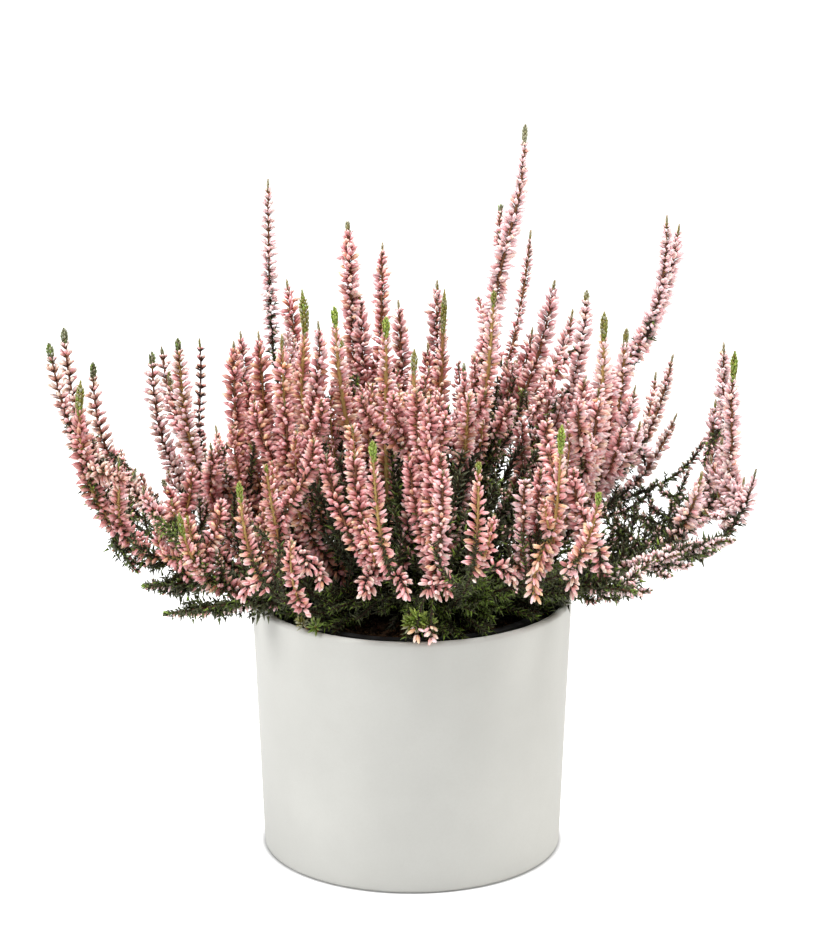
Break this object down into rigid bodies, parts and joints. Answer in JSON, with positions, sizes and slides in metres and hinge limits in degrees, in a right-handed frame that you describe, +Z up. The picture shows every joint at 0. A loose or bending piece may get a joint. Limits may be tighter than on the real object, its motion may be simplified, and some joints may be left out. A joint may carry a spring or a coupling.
{
  "type": "potted heather",
  "caption": "Bud-flowering heather with many upright pink spikes, growing in a black plastic pot that stands inside a plain off-white ceramic cover pot.",
  "frame": {"origin": "centre of the cover pot's flat underside", "axes": "+Z up the axis of the pot, +X to the right and +Y to the back as the plant is seen from its front"},
  "size_m": [0.306, 0.2172, 0.316],
  "materials": {
    "ceramic": "matte",
    "black_plastic": "matte",
    "peat": "matte",
    "wood": "matte",
    "flowering_shoot": "matte"
  },
  "bodies": {
    "root": {"cover_pot": "ceramic", "grow_pot": "black_plastic", "peat": "peat", "crown": "wood", "shoot_far_left_1": "flowering_shoot", "shoot_far_left_2": "flowering_shoot", "shoot_far_left_3": "flowering_shoot", "shoot_far_left_4": "flowering_shoot", "shoot_left_1": "flowering_shoot", "shoot_left_2": "flowering_shoot", "shoot_left_3": "flowering_shoot", "shoot_left_4": "flowering_shoot", "shoot_left_5": "flowering_shoot", "shoot_inner_left_1": "flowering_shoot", "shoot_inner_left_2": "flowering_shoot", "shoot_inner_left_3": "flowering_shoot", "shoot_inner_left_4": "flowering_shoot", "shoot_inner_left_5": "flowering_shoot", "shoot_centre_1": "flowering_shoot", "shoot_centre_2": "flowering_shoot", "shoot_centre_3": "flowering_shoot", "shoot_centre_4": "flowering_shoot", "shoot_centre_5": "flowering_shoot", "shoot_centre_6": "flowering_shoot", "shoot_centre_7": "flowering_shoot", "shoot_centre_8": "flowering_shoot", "shoot_centre_9": "flowering_shoot", "shoot_centre_10": "flowering_shoot", "shoot_tall_1": "flowering_shoot", "shoot_tall_2": "flowering_shoot", "shoot_inner_right_1": "flowering_shoot", "shoot_inner_right_2": "flowering_shoot", "shoot_inner_right_3": "flowering_shoot", "shoot_inner_right_4": "flowering_shoot", "shoot_right_1": "flowering_shoot", "shoot_right_2": "flowering_shoot", "shoot_right_3": "flowering_shoot", "shoot_right_4": "flowering_shoot", "shoot_far_right_1": "flowering_shoot", "shoot_far_right_2": "flowering_shoot", "shoot_far_right_3": "flowering_shoot", "shoot_far_right_4": "flowering_shoot", "shoot_low_right_1": "flowering_shoot", "shoot_low_right_2": "flowering_shoot", "shoot_low_left_1": "flowering_shoot", "shoot_low_left_2": "flowering_shoot", "shoot_front_1": "flowering_shoot", "shoot_front_2": "flowering_shoot", "shoot_front_3": "flowering_shoot", "shoot_front_4": "flowering_shoot", "shoot_front_5": "flowering_shoot", "shoot_front_6": "flowering_shoot", "shoot_low_front_1": "flowering_shoot", "shoot_low_front_2": "flowering_shoot", "shoot_back_1": "flowering_shoot", "shoot_back_2": "flowering_shoot", "shoot_back_3": "flowering_shoot", "shoot_back_4": "flowering_shoot", "shoot_back_5": "flowering_shoot", "shoot_back_6": "flowering_shoot"}
  },
  "joints": []
}
